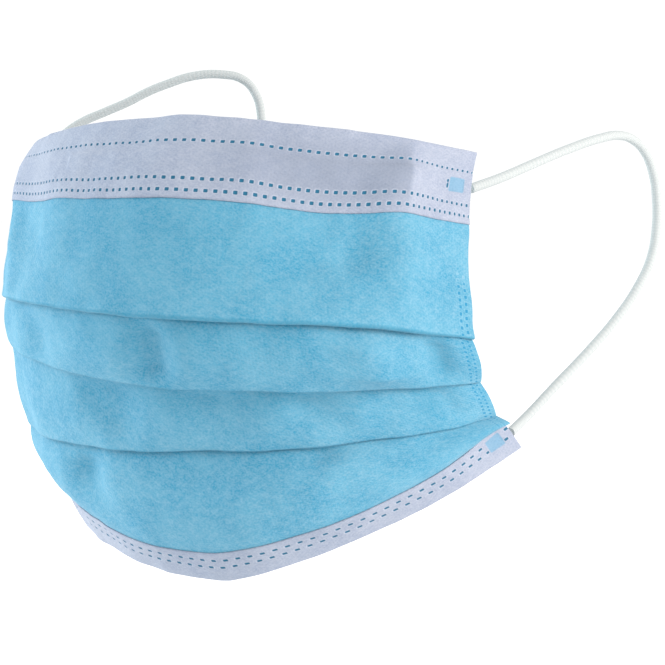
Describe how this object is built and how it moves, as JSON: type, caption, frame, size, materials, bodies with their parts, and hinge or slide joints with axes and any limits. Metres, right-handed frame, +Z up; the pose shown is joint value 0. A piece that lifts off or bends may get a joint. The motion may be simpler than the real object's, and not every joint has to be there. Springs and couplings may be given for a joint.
{
  "type": "surgical face mask",
  "caption": "Pleated three-ply face mask in its worn, opened form, with white top and bottom bands, a nose wire and round elastic ear loops.",
  "frame": {"origin": "middle of the top edge, where the mask sits on the bridge of the nose", "axes": "+Z up, the front of the mask faces -Y and the face goes in from +Y, +X to the right of somebody who looks at the front"},
  "size_m": [0.1794, 0.1396, 0.1396],
  "materials": {
    "blue_nonwoven": "spunbond polypropylene, sky blue outside and white inside, soft and matte",
    "white_nonwoven": "spunbond polypropylene, white with a faint cool tint, matte",
    "wire": "flat soft strip, satin",
    "elastic": "round knitted elastic, soft and matte"
  },
  "bodies": {
    "root": {"face_panel": "blue_nonwoven", "top_band": "white_nonwoven", "bottom_band": "white_nonwoven", "nose_wire": "wire", "loop_weld_upper_left": "elastic", "loop_weld_upper_right": "elastic", "loop_weld_lower_left": "elastic", "loop_weld_lower_right": "elastic", "ear_loop_left": "elastic", "ear_loop_right": "elastic"}
  },
  "joints": []
}
